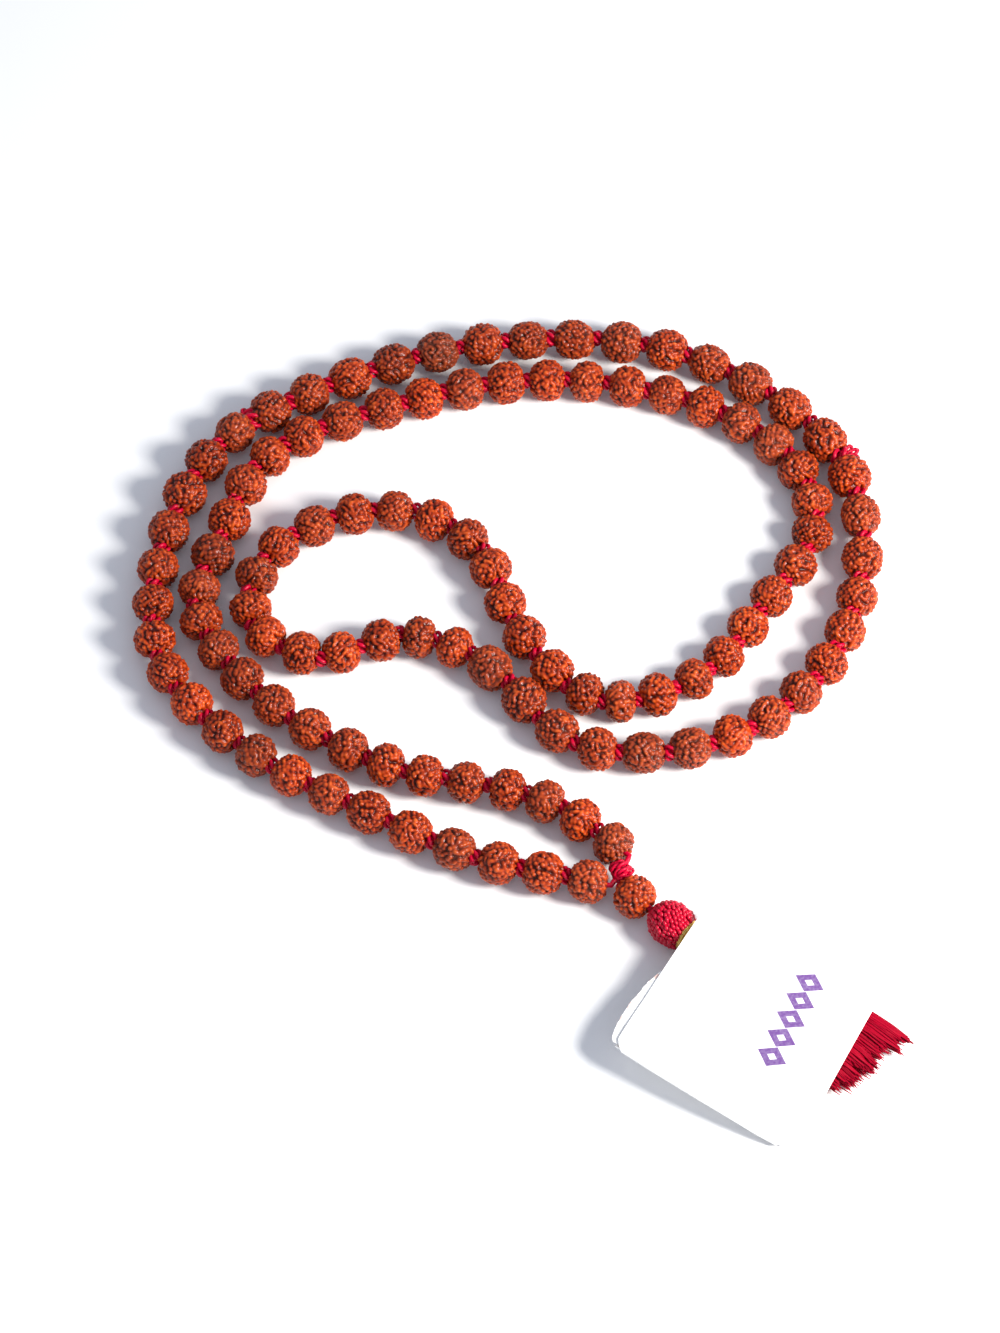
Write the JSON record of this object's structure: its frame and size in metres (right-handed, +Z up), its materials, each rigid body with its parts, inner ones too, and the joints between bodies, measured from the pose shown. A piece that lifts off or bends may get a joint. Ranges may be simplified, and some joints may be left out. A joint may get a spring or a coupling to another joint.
{
  "type": "mala prayer beads",
  "caption": "Knotted loop of ridged rudraksha seed beads coiled flat, with a guru bead, a woven ball, a gold binding, a crimson tassel and a folded card tag.",
  "frame": {"origin": "centre of the laid-out mala's bounding box, on the table plane", "axes": "+Z up from the table, +Y from the tassel towards the far side of the coil, +X to the right"},
  "size_m": [0.14, 0.1748, 0.0084],
  "materials": {
    "bead": "polished",
    "thread": "waxed cotton cord",
    "crochet": "close woven thread",
    "gold_thread": "metallic thread, wound",
    "tassel": "silky strands",
    "card": "uncoated card"
  },
  "bodies": {
    "coil": {"bead_run_021_029": "bead", "bead_run_043_052": "bead", "bead_run_053_062": "bead", "bead_run_063_072": "bead", "bead_run_073_082": "bead", "bead_run_083_092": "bead", "bead_run_093_103": "bead", "thread_outer_left": "thread", "thread_inner": "thread"},
    "right_arc": {"thread_outer_right": "thread"},
    "tail_rear": {"thread_tail_near": "thread", "thread_tail_far": "thread"},
    "tail_front": {"thread_end_near": "thread", "thread_end_far": "thread", "join_knot": "thread"},
    "guru": {"thread_guru": "thread"},
    "guru_bead": {"guru_bead": "bead"},
    "ball": {"woven_ball": "crochet"},
    "tassel": {"gold_binding": "gold_thread", "tassel": "tassel"},
    "tag": {"tag_back": "card"},
    "tag_cover": {"tag_cover": "card"},
    "bead_001": {"bead_001": "bead"},
    "bead_002": {"bead_002": "bead"},
    "bead_003": {"bead_003": "bead"},
    "bead_004": {"bead_004": "bead"},
    "bead_005": {"bead_005": "bead"},
    "bead_006": {"bead_006": "bead"},
    "bead_007": {"bead_007": "bead"},
    "bead_008": {"bead_008": "bead"},
    "bead_009": {"bead_009": "bead"},
    "bead_010": {"bead_010": "bead"},
    "bead_011": {"bead_011": "bead"},
    "bead_012": {"bead_012": "bead"},
    "bead_013": {"bead_013": "bead"},
    "bead_014": {"bead_014": "bead"},
    "bead_015": {"bead_015": "bead"},
    "bead_016": {"bead_016": "bead"},
    "bead_017": {"bead_017": "bead"},
    "bead_018": {"bead_018": "bead"},
    "bead_019": {"bead_019": "bead"},
    "bead_020": {"bead_020": "bead"},
    "bead_030": {"bead_030": "bead"},
    "bead_031": {"bead_031": "bead"},
    "bead_032": {"bead_032": "bead"},
    "bead_033": {"bead_033": "bead"},
    "bead_034": {"bead_034": "bead"},
    "bead_035": {"bead_035": "bead"},
    "bead_036": {"bead_036": "bead"},
    "bead_037": {"bead_037": "bead"},
    "bead_038": {"bead_038": "bead"},
    "bead_039": {"bead_039": "bead"},
    "bead_040": {"bead_040": "bead"},
    "bead_041": {"bead_041": "bead"},
    "bead_042": {"bead_042": "bead"},
    "bead_104": {"bead_104": "bead"},
    "bead_105": {"bead_105": "bead"},
    "bead_106": {"bead_106": "bead"},
    "bead_107": {"bead_107": "bead"},
    "bead_108": {"bead_108": "bead"}
  },
  "joints": [
    {"name": "right_arc_lift", "type": "hinge", "parent": "coil", "child": "right_arc", "pos_m": [0.03645, 0.03745, 0.004], "axis": [0.0389, -0.9992, 0], "range_deg": [0, 40]},
    {"name": "tail_lift", "type": "hinge", "parent": "coil", "child": "tail_rear", "pos_m": [-0.01212, -0.01867, 0.004], "axis": [-0.1775, -0.9841, 0], "range_deg": [0, 40]},
    {"name": "tail_end_lift", "type": "hinge", "parent": "tail_rear", "child": "tail_front", "pos_m": [0.01072, -0.02543, 0.004], "axis": [0.0167, -0.9999, 0], "range_deg": [0, 40]},
    {"name": "guru_lift", "type": "hinge", "parent": "tail_front", "child": "guru", "pos_m": [0.01988, -0.03428, 0.004], "axis": [-0.6428, -0.766, 0], "range_deg": [0, 40]},
    {"name": "guru_spin", "type": "hinge", "parent": "guru", "child": "guru_bead", "pos_m": [0.0233, -0.0365, 0.004], "axis": [0.766, -0.6428, 0], "continuous": true},
    {"name": "ball_swing", "type": "hinge", "parent": "guru", "child": "ball", "pos_m": [0.02629, -0.03901, 0.004], "axis": [0, 0, 1], "range_deg": [-30, 30]},
    {"name": "tassel_lift", "type": "hinge", "parent": "ball", "child": "tassel", "pos_m": [0.03167, -0.04418, 0.0072], "axis": [-0.6428, -0.766, 0], "range_deg": [0, 25]},
    {"name": "tag_slide", "type": "slide", "parent": "tassel", "child": "tag", "axis": [0.8545, -0.5195, 0], "range_m": [0, 0.012]},
    {"name": "tag_open", "type": "hinge", "parent": "tag", "child": "tag_cover", "pos_m": [0.03538, -0.07758, 0.00475], "axis": [0.8477, -0.5154, -0.1255], "range_deg": [0, 110]},
    {"name": "bead_001_spin", "type": "hinge", "parent": "tail_front", "child": "bead_001", "pos_m": [0.01492, -0.03333, 0.004], "axis": [-0.9778, 0.2095, 0], "continuous": true},
    {"name": "bead_002_spin", "type": "hinge", "parent": "tail_rear", "child": "bead_002", "pos_m": [0.00675, -0.03158, 0.004], "axis": [-0.9778, 0.2095, 0], "continuous": true},
    {"name": "bead_003_spin", "type": "hinge", "parent": "tail_rear", "child": "bead_003", "pos_m": [-0.00132, -0.02955, 0.004], "axis": [-0.9608, 0.2774, 0], "continuous": true},
    {"name": "bead_004_spin", "type": "hinge", "parent": "tail_rear", "child": "bead_004", "pos_m": [-0.00929, -0.02676, 0.004], "axis": [-0.9247, 0.3806, 0], "continuous": true},
    {"name": "bead_005_spin", "type": "hinge", "parent": "coil", "child": "bead_005", "pos_m": [-0.01717, -0.02317, 0.004], "axis": [-0.8946, 0.4469, 0], "continuous": true},
    {"name": "bead_006_spin", "type": "hinge", "parent": "coil", "child": "bead_006", "pos_m": [-0.02488, -0.01916, 0.004], "axis": [-0.8797, 0.4754, 0], "continuous": true},
    {"name": "bead_007_spin", "type": "hinge", "parent": "coil", "child": "bead_007", "pos_m": [-0.03218, -0.01526, 0.004], "axis": [-0.8839, 0.4676, 0], "continuous": true},
    {"name": "bead_008_spin", "type": "hinge", "parent": "coil", "child": "bead_008", "pos_m": [-0.03909, -0.01148, 0.004], "axis": [-0.87, 0.493, 0], "continuous": true},
    {"name": "bead_009_spin", "type": "hinge", "parent": "coil", "child": "bead_009", "pos_m": [-0.04566, -0.00727, 0.004], "axis": [-0.811, 0.585, 0], "continuous": true},
    {"name": "bead_010_spin", "type": "hinge", "parent": "coil", "child": "bead_010", "pos_m": [-0.05186, -0.00224, 0.004], "axis": [-0.7423, 0.6701, 0], "continuous": true},
    {"name": "bead_011_spin", "type": "hinge", "parent": "coil", "child": "bead_011", "pos_m": [-0.05769, 0.00364, 0.004], "axis": [-0.6642, 0.7476, 0], "continuous": true},
    {"name": "bead_012_spin", "type": "hinge", "parent": "coil", "child": "bead_012", "pos_m": [-0.06232, 0.01017, 0.004], "axis": [-0.4801, 0.8772, 0], "continuous": true},
    {"name": "bead_013_spin", "type": "hinge", "parent": "coil", "child": "bead_013", "pos_m": [-0.06486, 0.01728, 0.004], "axis": [-0.177, 0.9842, 0], "continuous": true},
    {"name": "bead_014_spin", "type": "hinge", "parent": "coil", "child": "bead_014", "pos_m": [-0.06538, 0.02491, 0.004], "axis": [0.0365, 0.9993, 0], "continuous": true},
    {"name": "bead_015_spin", "type": "hinge", "parent": "coil", "child": "bead_015", "pos_m": [-0.06462, 0.03274, 0.004], "axis": [0.1576, 0.9875, 0], "continuous": true},
    {"name": "bead_016_spin", "type": "hinge", "parent": "coil", "child": "bead_016", "pos_m": [-0.06293, 0.04073, 0.004], "axis": [0.2518, 0.9678, 0], "continuous": true},
    {"name": "bead_017_spin", "type": "hinge", "parent": "coil", "child": "bead_017", "pos_m": [-0.06021, 0.04886, 0.004], "axis": [0.3793, 0.9253, 0], "continuous": true},
    {"name": "bead_018_spin", "type": "hinge", "parent": "coil", "child": "bead_018", "pos_m": [-0.05628, 0.05634, 0.004], "axis": [0.5503, 0.835, 0], "continuous": true},
    {"name": "bead_019_spin", "type": "hinge", "parent": "coil", "child": "bead_019", "pos_m": [-0.05101, 0.06242, 0.004], "axis": [0.753, 0.6581, 0], "continuous": true},
    {"name": "bead_020_spin", "type": "hinge", "parent": "coil", "child": "bead_020", "pos_m": [-0.04442, 0.06714, 0.004], "axis": [0.8625, 0.5061, 0], "continuous": true},
    {"name": "bead_030_spin", "type": "hinge", "parent": "right_arc", "child": "bead_030", "pos_m": [0.0388, 0.07788, 0.004], "axis": [0.9013, -0.4332, 0], "continuous": true},
    {"name": "bead_031_spin", "type": "hinge", "parent": "right_arc", "child": "bead_031", "pos_m": [0.0465, 0.07348, 0.004], "axis": [0.831, -0.5563, 0], "continuous": true},
    {"name": "bead_032_spin", "type": "hinge", "parent": "right_arc", "child": "bead_032", "pos_m": [0.05385, 0.06778, 0.004], "axis": [0.7493, -0.6622, 0], "continuous": true},
    {"name": "bead_033_spin", "type": "hinge", "parent": "right_arc", "child": "bead_033", "pos_m": [0.06035, 0.06078, 0.004], "axis": [0.6027, -0.798, 0], "continuous": true},
    {"name": "bead_034_spin", "type": "hinge", "parent": "right_arc", "child": "bead_034", "pos_m": [0.06463, 0.0528, 0.004], "axis": [0.323, -0.9464, 0], "continuous": true},
    {"name": "bead_035_spin", "type": "hinge", "parent": "right_arc", "child": "bead_035", "pos_m": [0.0665, 0.04394, 0.004], "axis": [0.093, -0.9957, 0], "continuous": true},
    {"name": "bead_036_spin", "type": "hinge", "parent": "right_arc", "child": "bead_036", "pos_m": [0.06657, 0.03474, 0.004], "axis": [-0.0808, -0.9967, 0], "continuous": true},
    {"name": "bead_037_spin", "type": "hinge", "parent": "right_arc", "child": "bead_037", "pos_m": [0.06528, 0.02643, 0.004], "axis": [-0.2375, -0.9714, 0], "continuous": true},
    {"name": "bead_038_spin", "type": "hinge", "parent": "right_arc", "child": "bead_038", "pos_m": [0.06284, 0.01898, 0.004], "axis": [-0.3808, -0.9246, 0], "continuous": true},
    {"name": "bead_039_spin", "type": "hinge", "parent": "right_arc", "child": "bead_039", "pos_m": [0.05926, 0.01205, 0.004], "axis": [-0.5358, -0.8443, 0], "continuous": true},
    {"name": "bead_040_spin", "type": "hinge", "parent": "right_arc", "child": "bead_040", "pos_m": [0.05447, 0.00598, 0.004], "axis": [-0.6953, -0.7187, 0], "continuous": true},
    {"name": "bead_041_spin", "type": "hinge", "parent": "right_arc", "child": "bead_041", "pos_m": [0.04844, 0.00077, 0.004], "axis": [-0.8104, -0.5859, 0], "continuous": true},
    {"name": "bead_042_spin", "type": "hinge", "parent": "right_arc", "child": "bead_042", "pos_m": [0.04163, -0.00325, 0.004], "axis": [-0.9061, -0.423, 0], "continuous": true},
    {"name": "bead_104_spin", "type": "hinge", "parent": "tail_rear", "child": "bead_104", "pos_m": [-0.00717, -0.01288, 0.004], "axis": [0.9854, -0.1701, 0], "continuous": true},
    {"name": "bead_105_spin", "type": "hinge", "parent": "tail_rear", "child": "bead_105", "pos_m": [0.00028, -0.01444, 0.004], "axis": [0.9711, -0.2388, 0], "continuous": true},
    {"name": "bead_106_spin", "type": "hinge", "parent": "tail_rear", "child": "bead_106", "pos_m": [0.00727, -0.01687, 0.004], "axis": [0.9085, -0.4179, 0], "continuous": true},
    {"name": "bead_107_spin", "type": "hinge", "parent": "tail_front", "child": "bead_107", "pos_m": [0.01363, -0.02073, 0.004], "axis": [0.7929, -0.6094, 0], "continuous": true},
    {"name": "bead_108_spin", "type": "hinge", "parent": "tail_front", "child": "bead_108", "pos_m": [0.01958, -0.02558, 0.004], "axis": [0.7569, -0.6535, 0], "continuous": true}
  ]
}
